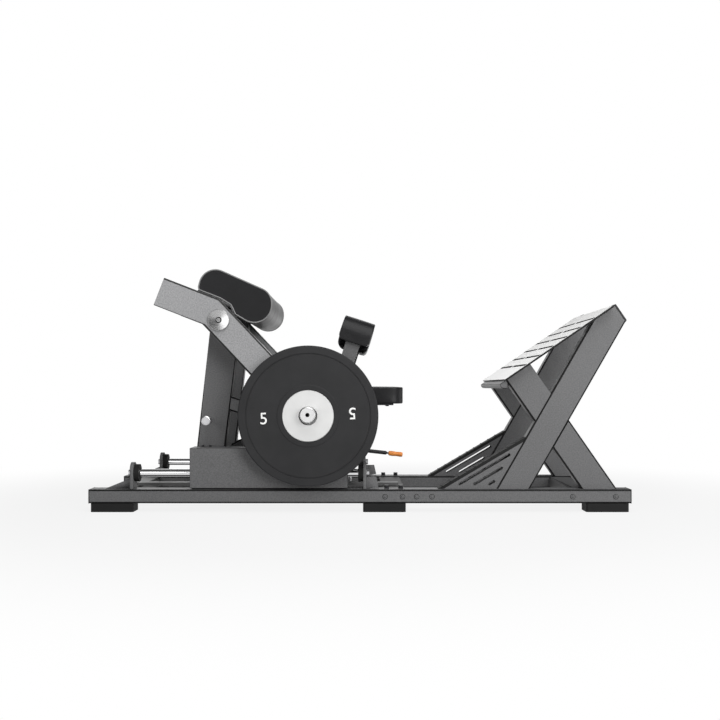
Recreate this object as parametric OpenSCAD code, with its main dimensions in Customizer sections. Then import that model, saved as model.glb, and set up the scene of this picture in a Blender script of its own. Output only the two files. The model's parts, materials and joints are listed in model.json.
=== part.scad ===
// Plate-loaded hip thrust machine. +X points from the back pad to the footplate,
// the user's right side is -Y, and the floor is Z = 0.

/* [Base] */
// Length of the base rails with their end caps
base_len = 1754; // [1700:2:1800]
// Width of a base rail
rail_w = 75; // [70:1:75]
// Height of a base rail
rail_h = 45; // [40:1:50]
// Distance from the middle to a rail's inner face
rail_in = 205; // [200:1:210]
// Height of the rubber feet
foot_h = 28; // [20:1:40]
// Length of a rubber foot
foot_len = 138; // [100:1:160]
// Wall of the square tubes
wall = 3; // [2:0.5:4]
// Width of a cross-member along the machine
cross_w = 80; // [60:1:90]

/* [Guide rods] */
// Radius of a guide rod
rod_r = 12.5; // [10:0.5:14]
// Distance from the middle to a guide rod
rod_y = 242; // [240:1:243]
// Height of the guide rods over the rails
rod_over_rail = 51; // [48:1:54]
// Radius of a rubber buffer
buffer_r = 28.5; // [24:0.5:29]
// Thickness of a rubber buffer
buffer_t = 16; // [10:1:20]

/* [Carriage] */
// Rear end of the carriage's side boxes
box_x0 = -552; // [-560:1:-545]
// Front end of the carriage's side boxes
box_x1 = -40; // [-45:1:-36]
// Height of a side box
box_h = 130; // [125:1:132]
// Sheet of the side boxes
sheet = 4; // [3:0.5:5]
// Face width of the posts and of the arms
tube_w = 95; // [90:1:96]
// Lean of the posts towards the footplate, in degrees
post_lean = 6.4; // [6:0.1:6.6]

/* [Press arm] */
// Height of the pivot
pivot_z = 620.7; // [615:0.1:625]
// Place of the pivot along the machine
pivot_x = -457.6; // [-460:0.1:-455]
// Slope of the arms in front of the pivot, in degrees
front_slope = 46.7; // [45:0.1:48]
// Radius of the pivot axle
axle_r = 20; // [18:0.5:22]
// Radius of a plate sleeve
sleeve_r = 25; // [24:0.5:25]
// Tilt of the hip pad and lean of its posts, in degrees
hip_tilt = 18; // [16:0.5:20]

/* [Pads] */
// Half of the back pad's width
back_half = 250; // [230:1:255]
// Half of the hip pad's width
hip_half = 240; // [230:1:250]
// Half of the seat's width
seat_half = 158; // [140:1:160]
// Top of the seat
seat_top = 404; // [395:1:410]

/* [Foot frame] */
// Slope of the footplate, in degrees
foot_slope = 34.4; // [33:0.1:36]
// Length of the footplate along its slope
footplate_len = 421; // [400:1:430]
// Width of the footplate
footplate_w = 586; // [560:1:600]
// Rows of slots in the footplate
slot_rows = 6; // [4:1:7]
// Slope of the step treads, in degrees
step_slope = 30.5; // [28:0.5:33]

/* [Weight plates] */
// Diameter of a weight plate
plate_d = 450; // [440:1:450]
// Thickness of a weight plate
plate_t = 48; // [30:1:50]

/* [Hidden] */

$fn = 48;
eps = 1;
rail_out = rail_in + rail_w;
rail_top = foot_h + rail_h;
rail_mid = rail_in + rail_w / 2;
cap_t = 3;
rail_end = base_len / 2;

// Base
foot_x = [-801, 79, 800];
cross_x = [-782, 109, 743];
cross_top = 70;
rail_bolt_x = [87, 133];
rail_plug_x = [81, 137, 183, 232, 687, 826];
lever_y = -95;
lock_x = -34;
index_t = 10;

// Travel of the carriage from rest; the lock's holes divide it, with one at each end
travel = [-165, 33];
index_steps = 6;
index_pitch = (travel[1] - travel[0]) / index_steps;

// Guide rods and their brackets
rod_z = rail_top + rod_over_rail;
bracket_half = 28;
rear_bracket_x = [-746, -734];
front_bracket_x = [10, 21];
rod_seat = 5;

// Carriage
box_gap = 3;
box_z0 = rail_top + box_gap;
box_top = box_z0 + box_h;
box_in = 170;
box_out = 268;
bearing_r = 20;
bearing_len = 60;
running_gap = 0.05;
post_in = 119;
post_out = 169;
post_foot_x = -497;
post_head_z = 610;
rear_tube = [-548, -448, 140, 200];
front_tube = [-130, -50, 110, 170];
column_x = [-118, -68];
column_out = 165;
seat_under = 348;
seat_plate_t = 5;
seat_x = [-205, 145];
peg_x = -501;
peg_z = 295;
peg_r = 8;

// Press arm
arm_in = 219;
arm_out = 269;
arm_rear = [-651.8, 714];
arm_bend = [-485.5, 649.5];
arm_tip_run = 538;
sleeve_at = [-166, 315.5];
bore_r = 29.25;
plate_in = 272;
plate_z = sleeve_at[1] + sleeve_r - bore_r + 0.3;
hip_post_x = -191.7;
hip_post_w = 48;
hip_post_in = 171;
hip_foot = 190;
hip_under = 514.4;
hip_plate_t = 6;

// Lever
lever_pivot = [-84, 198.5];
lever_drop = 6.29;
pin_r = 6;

// Foot frame
frame_in = 208;
frame_out = 258;
foot_low = [467, 429];
footplate_t = 6;
upright_foot_x = 498;
upright_lean = 29.8;
brace_foot_x = 777.5;
brace_lean = 34.8;
frame_end = [832, 673];
end_cap_t = 7;
step_in = 212;
step_x = 250;
step_run = 330;
tread_t = 11;

// Steel, paint and rubber as seen
paint = "#5d5e60";
arm_paint = "#a3a4a6";
black = "#232325";
chrome = "#c9cbce";
plate_grey = "#e2e2e0";

// ---- helpers ----

// A flat shape drawn in X and Z, drawn out in Y from y0 to y1
module slab(points, y0, y1) {
    translate([0, y1, 0]) rotate([90, 0, 0]) linear_extrude(y1 - y0) polygon(points);
}

// What is drawn for the right side (-Y), put on side -1 or mirrored to side 1
module on_side(side) {
    mirror([0, side > 0 ? 1 : 0, 0]) children();
}

// A cylinder along Y from y0 to y1 at a point in X and Z
module bar_y(at, r, y0, y1) {
    translate([at[0], y1, at[1]]) rotate([90, 0, 0]) cylinder(r = r, h = y1 - y0);
}

// A cylinder along X from x0 to x1 at a point in Y and Z
module bar_x(at, r, x0, x1) {
    translate([x0, at[0], at[1]]) rotate([0, 90, 0]) cylinder(r = r, h = x1 - x0);
}

// A block between two corners
module block(x, y, z) {
    translate([x[0], y[0], z[0]]) cube([x[1] - x[0], y[1] - y[0], z[1] - z[0]]);
}

function unit(v) = v / norm(v);
function left_of(v) = [-v[1], v[0]];
function heading(c, i) = unit(c[i + 1] - c[i]);

// Edge point of a mitred strip beside point i of a centreline, h to its left
function strip_point(c, i, h) =
    let (last = len(c) - 1,
         before = heading(c, max(i - 1, 0)),
         after = heading(c, min(i, last - 1)),
         mitre = unit(left_of(before) + left_of(after)))
    c[i] + mitre * h / (mitre * left_of(before));

// Outline of a strip of half width h about a centreline, its ends drawn out by ext
function strip(c, h, ext = 0) =
    let (last = len(c) - 1,
         d = [for (i = [0:last])
             i == 0 ? c[0] - heading(c, 0) * ext :
             i == last ? c[last] + heading(c, last - 1) * ext : c[i]])
    concat([for (i = [0:last]) strip_point(d, i, h)],
           [for (i = [last:-1:0]) strip_point(d, i, -h)]);

// A rectangular tube along a centreline in X and Z, open at its ends
module tube(c, w, y0, y1) {
    difference() {
        slab(strip(c, w / 2), y0, y1);
        slab(strip(c, w / 2 - wall, eps), y0 + wall, y1 - wall);
    }
}

// A rectangular tube across the machine, open at its ends
module cross_tube(x, y, z) {
    difference() {
        block(x, y, z);
        block([x[0] + wall, x[1] - wall], [y[0] - eps, y[1] + eps], [z[0] + wall, z[1] - wall]);
    }
}

// A hexagon bolt head with its washer, standing on a face at the origin and facing +Z
module bolt_head(across, h) {
    cylinder(d = across * 1.35, h = h * 0.2);
    cylinder(d = across * 1.155, h = h, $fn = 6);
}

// Points of an arc about c, from angle a0 to a1 in degrees
function arc(c, r, a0, a1, n) =
    [for (i = [0:n]) let (a = a0 + (a1 - a0) * i / n) c + r * [cos(a), sin(a)]];

// Points that round the corner at point i of an outline with radius r
function round_corner(p, i, r, n) =
    let (count = len(p),
         u = unit(p[(i + count - 1) % count] - p[i]),
         v = unit(p[(i + 1) % count] - p[i]),
         half = acos(u * v) / 2,
         centre = p[i] + unit(u + v) * r / sin(half),
         start = p[i] + u * r / tan(half) - centre,
         end = p[i] + v * r / tan(half) - centre,
         a0 = atan2(start[1], start[0]),
         turn = (atan2(end[1], end[0]) - a0 + 540) % 360 - 180)
    arc(centre, r, a0, a0 + turn, n);

// An outline with every corner rounded by its own radius
function rounded(p, radii, n) = [for (i = [0:len(p) - 1]) each round_corner(p, i, radii[i], n)];

// The outline of closed points moved inwards by d; the points run clockwise
function drawn_in(p, d) =
    let (count = len(p))
    [for (i = [0:count - 1])
        let (t = unit(p[(i + 1) % count] - p[(i + count - 1) % count])) p[i] + [t[1], -t[0]] * d];

// A closed skin over rings of equal count, with a point that closes each end
module loft(rings, first_tip, last_tip) {
    n = len(rings[0]);
    last = len(rings) - 1;
    points = concat([for (r = rings) each r], [first_tip, last_tip]);
    sides = [for (k = [0:last - 1], i = [0:n - 1], half = [0, 1])
        let (a = k * n + i, b = k * n + (i + 1) % n) half == 0 ? [a, b, b + n] : [a, b + n, a + n]];
    first_cap = [for (i = [0:n - 1]) [(i + 1) % n, i, len(points) - 2]];
    last_cap = [for (i = [0:n - 1]) [last * n + i, last * n + (i + 1) % n, len(points) - 1]];
    polyhedron(points, concat(sides, first_cap, last_cap));
}

// ---- base ----

module rail(side) {
    on_side(side) color(paint) difference() {
        block([cap_t - rail_end, rail_end - cap_t], [-rail_out, -rail_in], [foot_h, rail_top]);
        block([-rail_end, rail_end], [wall - rail_out, -rail_in - wall], [foot_h + wall, rail_top - wall]);
    }
}

module right_rail() { rail(-1); }
module left_rail() { rail(1); }

module rail_end_caps() {
    color(black) for (side = [-1, 1], end = [-1, 1]) on_side(side)
        mirror([end < 0 ? 1 : 0, 0, 0]) {
            block([rail_end - cap_t, rail_end], [-rail_out, -rail_in], [foot_h, rail_top]);
            block([rail_end - 20, rail_end - cap_t], [wall - rail_out, -rail_in - wall],
                [foot_h + wall, rail_top - wall]);
        }
}

module rubber_feet() {
    chamfer = 5;
    half_l = foot_len / 2;
    half_w = rail_w / 2;
    color(black) for (side = [-1, 1], x = foot_x) translate([x, side * rail_mid, 0])
        linear_extrude(foot_h) polygon([
            [-half_l, chamfer - half_w], [chamfer - half_l, -half_w],
            [half_l - chamfer, -half_w], [half_l, chamfer - half_w],
            [half_l, half_w - chamfer], [half_l - chamfer, half_w],
            [chamfer - half_l, half_w], [-half_l, half_w - chamfer]]);
}

module cross_member(x) {
    color(paint) cross_tube([x - cross_w / 2, x + cross_w / 2], [-rail_in, rail_in], [foot_h + 2, cross_top]);
}

module rear_cross_member() { cross_member(cross_x[0]); }
module middle_cross_member() { cross_member(cross_x[1]); }
module front_cross_member() { cross_member(cross_x[2]); }

module rail_bolts() {
    color(black) for (side = [-1, 1], x = rail_bolt_x)
        translate([x, side * rod_y, rail_top]) bolt_head(13, 11);
}

module rail_plugs() {
    plug_z = 50;
    color(paint) for (side = [-1, 1], x = rail_plug_x) on_side(side)
        translate([x, -rail_out, plug_z]) rotate([90, 0, 0]) {
            cylinder(r1 = 9, r2 = 8, h = 1.5);
            cylinder(r = 4, h = 2.5);
        }
}

// Flat bar on the rear and middle cross-members, with a row of holes for the lock pin
module index_bar() {
    half_w = 20;
    hole_r = pin_r + 0.6;
    color(chrome) difference() {
        block([cross_x[0] - half_w, cross_x[1] + half_w], [lever_y - half_w, lever_y + half_w],
            [cross_top, cross_top + index_t]);
        for (i = [0:index_steps])
            translate([lock_x + travel[0] + i * index_pitch, lever_y, cross_top - eps])
                cylinder(r = hole_r, h = index_t + 2 * eps);
    }
}

// Upright plate with a round top that holds a rod's end, and a web behind it
module rod_bracket(side, x, web) {
    outer = web[0][0] < x[0] ? x[0] : x[1];
    inner = outer == x[0] ? x[1] : x[0];
    seat = outer == x[0] ? [inner - rod_seat, inner + eps] : [inner - eps, inner + rod_seat];
    on_side(side) color(paint) difference() {
        union() {
            block(x, [-rod_y - bracket_half, -rod_y + bracket_half], [rail_top, rod_z + 7]);
            bar_x([-rod_y, rod_z + 7], bracket_half, x[0], x[1]);
            slab(concat(web, [[outer, rail_top]]), -rod_y - 4, -rod_y + 4);
        }
        bar_x([-rod_y, rod_z], rod_r, seat[0], seat[1]);
        bar_x([-rod_y, rod_z], 6.5, x[0] - eps, x[1] + eps);
    }
}

rear_web = [[-830, rail_top], [rear_bracket_x[0], rail_top + 34]];
front_web = [[61, rail_top + 5], [53, 112], [front_bracket_x[1], 112]];
module rear_rod_brackets() { for (side = [-1, 1]) rod_bracket(side, rear_bracket_x, rear_web); }
module front_rod_brackets() { for (side = [-1, 1]) rod_bracket(side, front_bracket_x, front_web); }

module guide_rods() {
    x0 = rear_bracket_x[1] - rod_seat;
    x1 = front_bracket_x[0] + rod_seat;
    color(chrome) for (side = [-1, 1]) difference() {
        bar_x([side * rod_y, rod_z], rod_r, x0, x1);
        bar_x([side * rod_y, rod_z], 6, x0 - eps, x0 + 30);
        bar_x([side * rod_y, rod_z], 6, x1 - 30, x1 + eps);
    }
}

module rod_buffers() {
    color(black) for (side = [-1, 1], x = [rear_bracket_x[1], front_bracket_x[0] - buffer_t])
        difference() {
            bar_x([side * rod_y, rod_z], buffer_r, x, x + buffer_t);
            bar_x([side * rod_y, rod_z], rod_r + 0.2, x - eps, x + buffer_t + eps);
        }
}

module rod_end_bolts() {
    shank = 20;
    color(chrome) for (side = [-1, 1]) {
        translate([rear_bracket_x[0], side * rod_y, rod_z]) rotate([0, -90, 0]) {
            bolt_head(17, 9);
            translate([0, 0, -shank]) cylinder(r = 5.9, h = shank);
        }
        translate([front_bracket_x[1], side * rod_y, rod_z]) rotate([0, 90, 0]) {
            bolt_head(17, 9);
            translate([0, 0, -shank]) cylinder(r = 5.9, h = shank);
        }
    }
}

// ---- foot frame ----

// Everything over the footplate's underside, or past the end of the uprights
module beyond_footplate() {
    reach = 900;
    translate([foot_low[0], 0, foot_low[1]]) rotate([0, -foot_slope, 0]) {
        translate([-reach, -reach / 2, -footplate_t]) cube([2 * reach, reach, reach]);
    }
    translate([frame_end[0], 0, frame_end[1]]) rotate([0, -foot_slope, 0])
        translate([-end_cap_t, -reach / 2, -reach / 2]) cube([reach, reach, reach]);
}

module below_rails() {
    translate([0, -500, rail_top - 300]) cube([1200, 1000, 300]);
}

function along(from, lean, run) = from + run * [sin(lean), cos(lean)];
upright_line = [along([upright_foot_x, rail_top], upright_lean, -80),
                along([upright_foot_x, rail_top], upright_lean, 800)];
brace_line = [along([brace_foot_x, rail_top], -brace_lean, -80),
              along([brace_foot_x, rail_top], -brace_lean, 620)];

module foot_upright(side) {
    on_side(side) color(paint) difference() {
        tube(upright_line, tube_w, -frame_out, -frame_in);
        beyond_footplate();
        below_rails();
    }
}

module right_foot_upright() { foot_upright(-1); }
module left_foot_upright() { foot_upright(1); }

// The brace in its two lengths, butted against the upright that runs between them
module foot_braces(side) {
    on_side(side) color(paint) difference() {
        tube(brace_line, tube_w, -frame_out, -frame_in);
        beyond_footplate();
        below_rails();
        slab(strip(upright_line, tube_w / 2), -frame_out - eps, -frame_in + eps);
    }
}

module right_foot_braces() { foot_braces(-1); }
module left_foot_braces() { foot_braces(1); }

module foot_upright_caps() {
    color(black) for (side = [-1, 1]) on_side(side) intersection() {
        slab(strip(upright_line, tube_w / 2), -frame_out, -frame_in);
        translate([frame_end[0], 0, frame_end[1]]) rotate([0, -foot_slope, 0])
            translate([-end_cap_t, -300, -200]) cube([end_cap_t, 600, 201]);
    }
}

// Sloping plate with two columns of slots across it
module footplate() {
    slot_w = 11;
    slot_y = [12, 281];
    slot_pitch = 53.4;
    first_slot = footplate_len / 2 + 6 - slot_pitch * (slot_rows - 1) / 2;
    color(plate_grey) translate([foot_low[0], 0, foot_low[1]]) rotate([0, -foot_slope, 0]) difference() {
        translate([0, -footplate_w / 2, -footplate_t]) cube([footplate_len, footplate_w, footplate_t]);
        for (side = [-1, 1], row = [0:slot_rows - 1]) on_side(side)
            translate([first_slot + row * slot_pitch, 0, -footplate_t - eps]) {
                translate([-slot_w / 2, slot_w / 2 - slot_y[1], 0])
                    cube([slot_w, slot_y[1] - slot_y[0] - slot_w, footplate_t + 2 * eps]);
                for (y = [slot_w / 2 - slot_y[1], -slot_y[0] - slot_w / 2])
                    translate([0, y, 0]) cylinder(d = slot_w, h = footplate_t + 2 * eps);
            }
    }
}

// Round-nosed bar across the frame under the footplate's lower edge
module footplate_toe_bar() {
    nose = [467, 411.5];
    nose_r = 12;
    color(paint) difference() {
        union() {
            bar_y(nose, nose_r, -frame_out, frame_out);
            slab([[nose[0], nose[1] - nose_r], [nose[0] + 14, nose[1] - nose_r],
                [nose[0] + 14, nose[1] + nose_r + 8], [nose[0], nose[1] + nose_r]], -frame_out, frame_out);
        }
        beyond_footplate();
        for (side = [-1, 1]) on_side(side)
            slab(strip(brace_line, tube_w / 2), -frame_out - eps, -frame_in);
    }
}

// Line of a step's top, set back by d square to the slope
function step_line(d) = [[step_x + d / sin(step_slope), rail_top],
                         [step_x + d / sin(step_slope) + step_run * cos(step_slope),
                          rail_top + step_run * sin(step_slope)]];

// Folded sheet between the rail and the upright: two cheeks with slots under a sloping top
module step_bracket(side) {
    slot_w = 9;
    slot_gap = 48.6;
    slot_z = 89;
    lean = tan(upright_lean);
    outer = step_line(tread_t);
    inner = step_line(tread_t + wall);
    on_side(side) color(paint) difference() {
        slab([outer[0], outer[1], [upright_foot_x, rail_top]], -frame_out, -step_in);
        slab([inner[0] - [0, eps], inner[1], [upright_foot_x + 9, rail_top - eps]],
            wall - frame_out, -step_in - wall);
        slab(strip(upright_line, tube_w / 2), -frame_out - eps, eps - step_in);
        for (k = [0:2]) {
            start = [324 + k * slot_gap, slot_z];
            upright_face = upright_foot_x - tube_w / 2 / cos(upright_lean) + lean * (slot_z - rail_top);
            room = upright_face - 22 - start[0];
            run = room / (cos(step_slope) - lean * sin(step_slope));
            end = start + run * [cos(step_slope), sin(step_slope)];
            ends = [for (i = [0:3]) slot_w / 2 - 0.05];
            slab(rounded(strip([start, end], slot_w / 2, slot_w / 2), ends, 6), -frame_out - eps, eps - step_in);
        }
    }
}

module step_brackets() { for (side = [-1, 1]) step_bracket(side); }

// Rubber treads on the steps, with cross ribs
module step_treads() {
    rib_pitch = 31;
    rib_r = 3;
    bed = tread_t - rib_r / 2;
    top = step_line(tread_t - bed);
    low = step_line(tread_t);
    slope = [cos(step_slope), sin(step_slope)];
    color(black) for (side = [-1, 1]) on_side(side) difference() {
        union() {
            slab([top[0], top[1], low[1], low[0]], -frame_out, -step_in);
            for (i = [0:9]) bar_y(top[0] + slope * (16 + i * rib_pitch), rib_r / 1.5, -frame_out, -step_in);
        }
        slab(strip(upright_line, tube_w / 2), -frame_out - eps, eps - step_in);
    }
}

// ---- carriage ----

// Folded box over a guide rod, open below, with a hole for the rod in each end
module carriage_box(side) {
    hole_r = 17;
    on_side(side) color(paint) difference() {
        block([box_x0, box_x1], [-box_out, -box_in], [box_z0, box_top]);
        block([box_x0 + sheet, box_x1 - sheet], [sheet - box_out, -box_in - sheet],
            [box_z0 - eps, box_top - sheet]);
        bar_x([-rod_y, rod_z], hole_r, box_x0 - eps, box_x1 + eps);
    }
}

module right_carriage_box() { carriage_box(-1); }
module left_carriage_box() { carriage_box(1); }

// Flanged bearings on the inner face of each box end, running on the rods
module linear_bearings() {
    flange_t = 8;
    flange = 21;
    color(chrome) for (side = [-1, 1], end = [0, 1]) {
        x0 = end == 0 ? box_x0 + sheet : box_x1 - sheet - bearing_len;
        fx = end == 0 ? x0 : x0 + bearing_len - flange_t;
        difference() {
            union() {
                bar_x([side * rod_y, rod_z], bearing_r, x0, x0 + bearing_len);
                block([fx, fx + flange_t], [side * rod_y - flange, side * rod_y + flange],
                    [rod_z - flange, rod_z + flange]);
            }
            bar_x([side * rod_y, rod_z], rod_r + running_gap, x0 - eps, x0 + bearing_len + eps);
        }
    }
}

module carriage_bolts() {
    color(black) for (side = [-1, 1], x = [-522, -497])
        translate([x, side * (box_in + 16), box_top]) bolt_head(8, 5);
}

module carriage_cross_tubes() {
    color(paint) for (t = [rear_tube, front_tube])
        cross_tube([t[0], t[1]], [-box_in, box_in], [t[2], t[3]]);
}

function post_x(z) = post_foot_x + (z - box_top) * tan(post_lean);
post_head = [post_x(post_head_z), post_head_z];
post_line = [[post_x(100), 100], post_head];

// Leaning tube with a round top and a welded hub for the bearing
module post(side) {
    hub_r = 34;
    on_side(side) color(paint) difference() {
        union() {
            slab(strip(post_line, tube_w / 2), -post_out, -post_in);
            bar_y(post_head, tube_w / 2, -post_out, -post_in);
        }
        difference() {
            union() {
                slab(strip(post_line, tube_w / 2 - wall), wall - post_out, -post_in - wall);
                bar_y(post_head, tube_w / 2 - wall, wall - post_out, -post_in - wall);
            }
            bar_y([pivot_x, pivot_z], hub_r, -post_out, -post_in);
        }
        translate([-700, -200, 0]) cube([400, 400, rear_tube[3]]);
        bar_y([pivot_x, pivot_z], axle_r + 6, -post_out - eps, eps - post_in);
    }
}

module right_post() { post(-1); }
module left_post() { post(1); }

// Bushes in the posts, with a flange on both faces
module pivot_bearings() {
    color(chrome) for (side = [-1, 1]) on_side(side) difference() {
        union() {
            bar_y([pivot_x, pivot_z], axle_r + 6, -post_out, -post_in);
            bar_y([pivot_x, pivot_z], axle_r + 14, -post_out - 5, -post_out);
            bar_y([pivot_x, pivot_z], axle_r + 14, -post_in, 5 - post_in);
        }
        bar_y([pivot_x, pivot_z], axle_r + running_gap, -post_out - 10, 10 - post_in);
    }
}

// Sloping side tube from the post to an upright column that carries the seat
module seat_side(side) {
    slope = tan(17);
    tube_h = 49;
    z_at_column = 372 - slope * (column_x[0] - post_x(372) - tube_w / 2);
    mid_drop = [0, -tube_h / 2];
    line = [[post_x(372) - 20, 372 + slope * 70] + mid_drop, [column_x[0], z_at_column] + mid_drop];
    on_side(side) color(paint) {
        difference() {
            tube([line[0], line[1] + unit(line[1] - line[0]) * 20], tube_h * cos(17), -column_out, -post_in);
            slab(strip(post_line, tube_w / 2), -post_out - eps, eps - post_in);
            block([column_x[0], 0], [-column_out - eps, eps - post_in], [100, 400]);
        }
        difference() {
            block(column_x, [-column_out, -post_in], [front_tube[3], seat_under - seat_plate_t]);
            block([column_x[0] + wall, column_x[1] - wall], [wall - column_out, -post_in - wall],
                [front_tube[3] - eps, seat_under]);
        }
    }
}

module seat_frame() { for (side = [-1, 1]) seat_side(side); }

// Diagonal tube from the rear cross tube up to the seat plate
module seat_strut() {
    rise = tan(27.6);
    depth = 45;
    x0 = rear_tube[1];
    top = [x0 - 20, 206 - 20 * rise];
    under = seat_under - seat_plate_t;
    color(paint) difference() {
        tube([top - [0, depth / 2], top - [0, depth / 2] + [420, 420 * rise]], depth * cos(27.6), -25, 25);
        block([x0 - 100, x0], [-30, 30], [100, 300]);
        block([x0, 100], [-30, 30], [under, 500]);
    }
}

module seat_plate() {
    color(paint) difference() {
        block([seat_x[0] + 15, 112], [-column_out + 5, column_out - 5],
            [seat_under - seat_plate_t, seat_under]);
        for (side = [-1, 1], x = [-150, 20, 94])
            translate([x, side * 60, seat_under - 20]) cylinder(r = 4.2, h = 40);
    }
}

module seat_bolts() {
    color(black) for (side = [-1, 1], x = [-150, 20, 94])
        translate([x, side * 60, seat_under - seat_plate_t]) rotate([180, 0, 0]) {
            bolt_head(10, 5);
            translate([0, 0, -seat_plate_t]) cylinder(r = 4, h = seat_plate_t);
        }
}

// Seat cushion: a rounded outline with drawn-in sides, a tight top edge and a low crown
module seat_pad() {
    n = 8;
    h = seat_top - seat_under;
    corners = [[seat_x[0], -seat_half], [seat_x[0], seat_half],
               [seat_x[1], seat_half], [seat_x[1], -seat_half]];
    outline = rounded(corners, [38, 38, 38, 38], n);
    centre = [(seat_x[0] + seat_x[1]) / 2, 0];
    // Height over the underside, inset of the outline
    levels = [[0, 3], [2, 0.8], [6, 0], [18, 0.9], [34, 1.1],
              [h - 9, 0.2], [h - 5, 0], [h - 3, 0.9], [h - 2, 3]];
    crown = [[0.86, h - 1], [0.58, h - 0.4], [0.28, h - 0.1]];
    side_rings = [for (l = levels) [for (p = drawn_in(outline, l[1])) [p[0], p[1], seat_under + l[0]]]];
    top_outline = drawn_in(outline, 3);
    crown_rings = [for (c = crown) [for (p = top_outline)
        let (q = centre + (p - centre) * c[0]) [q[0], q[1], seat_under + c[1]]]];
    color(black) loft(concat(side_rings, crown_rings),
        [centre[0], centre[1], seat_under], [centre[0], centre[1], seat_top]);
}

module band_peg(side) {
    on_side(side) color(chrome) {
        bar_y([peg_x, peg_z], peg_r, -256, -post_out);
        translate([peg_x, -256, peg_z]) rotate([90, 0, 0]) {
            cylinder(r1 = 13, r2 = 15, h = 2);
            translate([0, 0, 2]) cylinder(r = 15, h = 5);
            translate([0, 0, 7]) cylinder(r1 = 15, r2 = 12, h = 2);
        }
    }
}

module band_pegs() { for (side = [-1, 1]) band_peg(side); }

function arm_dir() = [cos(front_slope), -sin(front_slope)];
function arm_point(run) = arm_bend + run * arm_dir();
arm_line = [arm_rear, arm_bend, arm_point(arm_tip_run)];

// Rubber wedges on the side boxes that the lower faces of the arms rest on
module arm_stops() {
    down = [-sin(front_slope), -cos(front_slope)];
    clear = 0.5;
    low = arm_point(arm_tip_run - 12) + down * (tube_w / 2 + clear);
    high = arm_point(arm_tip_run - 64) + down * (tube_w / 2 + clear);
    color(black) for (side = [-1, 1]) on_side(side)
        slab([[low[0], box_top], low, high, [high[0] - 12, high[1]], [high[0] - 12, box_top]],
            -box_out + 2, -arm_in - 5);
}

// Guide tube of the lock pin on a plate at the front cross tube
module lock_pin_housing() {
    guide_r = 11;
    guide_z = [100, 168];
    color(paint) difference() {
        union() {
            translate([lock_x, lever_y, guide_z[0]]) cylinder(r = guide_r, h = guide_z[1] - guide_z[0]);
            block([front_tube[1], lock_x], [lever_y - 8, lever_y + 8], [front_tube[2] + 4, front_tube[3] - 4]);
        }
        translate([lock_x, lever_y, guide_z[0] - eps])
            cylinder(r = pin_r + running_gap, h = guide_z[1] - guide_z[0] + 2 * eps);
    }
}

// Two ears on the front cross tube with the lever's pivot pin between them
module lever_ears() {
    ear_r = 12;
    color(paint) for (side = [-1, 1]) difference() {
        union() {
            bar_y(lever_pivot, ear_r, lever_y + side * 10 - 2.5, lever_y + side * 10 + 2.5);
            block([lever_pivot[0] - ear_r, lever_pivot[0] + ear_r],
                [lever_y + side * 10 - 2.5, lever_y + side * 10 + 2.5], [front_tube[3], lever_pivot[1]]);
        }
        bar_y(lever_pivot, 4, lever_y - 20, lever_y + 20);
    }
    color(chrome) bar_y(lever_pivot, 4, lever_y - 14, lever_y + 14);
}

// ---- press arm ----

// Bent tube with a hub for the pivot axle
module arm(side) {
    on_side(side) color(arm_paint) difference() {
        union() {
            tube(arm_line, tube_w, -arm_out, -arm_in);
            bar_y([pivot_x, pivot_z], axle_r + 8, wall - arm_out, -arm_in - wall);
        }
        bar_y([pivot_x, pivot_z], axle_r, -arm_out - eps, eps - arm_in);
    }
}

module right_arm() { arm(-1); }
module left_arm() { arm(1); }

module arm_end_caps() {
    plug = 12;
    rear_run = unit(arm_bend - arm_rear);
    tip = arm_point(arm_tip_run);
    color(black) for (side = [-1, 1]) on_side(side) {
        slab(strip([arm_rear, arm_rear + rear_run * plug], tube_w / 2 - wall), wall - arm_out, -arm_in - wall);
        slab(strip([tip - arm_dir() * plug, tip], tube_w / 2 - wall), wall - arm_out, -arm_in - wall);
    }
}

// Square tube that ties the two arms behind the pivot
module arm_tie() {
    rear_run = unit(arm_bend - arm_rear);
    at = arm_rear + rear_run * 62;
    half = 30;
    outer = rear_run * half;
    inner = rear_run * (half - wall);
    color(arm_paint) difference() {
        slab(strip([at - outer, at + outer], half), -arm_in, arm_in);
        slab(strip([at - inner, at + inner], half - wall), -arm_in - eps, arm_in + eps);
    }
}

// Axle with a wide spacer between each post's bearing and its arm
module pivot_axle() {
    color(chrome) difference() {
        union() {
            bar_y([pivot_x, pivot_z], axle_r, -arm_out, arm_out);
            for (side = [-1, 1]) on_side(side)
                bar_y([pivot_x, pivot_z], axle_r + 10, -arm_in, -post_out - 6);
        }
        for (side = [-1, 1]) on_side(side) bar_y([pivot_x, pivot_z], 6, -arm_out - eps, -arm_out + 30);
    }
}

// Dished cap on each end of the axle, held by a socket bolt in a counterbore
module pivot_caps() {
    floor_t = 2;
    head_h = 4.5;
    color(chrome) for (side = [-1, 1]) on_side(side)
        translate([pivot_x, -arm_out, pivot_z]) rotate([90, 0, 0]) {
            rotate_extrude() polygon([
                [0, 0], [34.5, 0], [34.5, 7], [33.5, 8], [32, 7.7], [10, 4.5], [10, floor_t], [0, floor_t]]);
            difference() {
                translate([0, 0, floor_t]) cylinder(r = 7, h = head_h);
                translate([0, 0, floor_t + head_h - 3]) cylinder(r = 3.6, h = 3 + eps, $fn = 6);
            }
            translate([0, 0, -25]) cylinder(r = 5.9, h = 25);
        }
}

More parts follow.
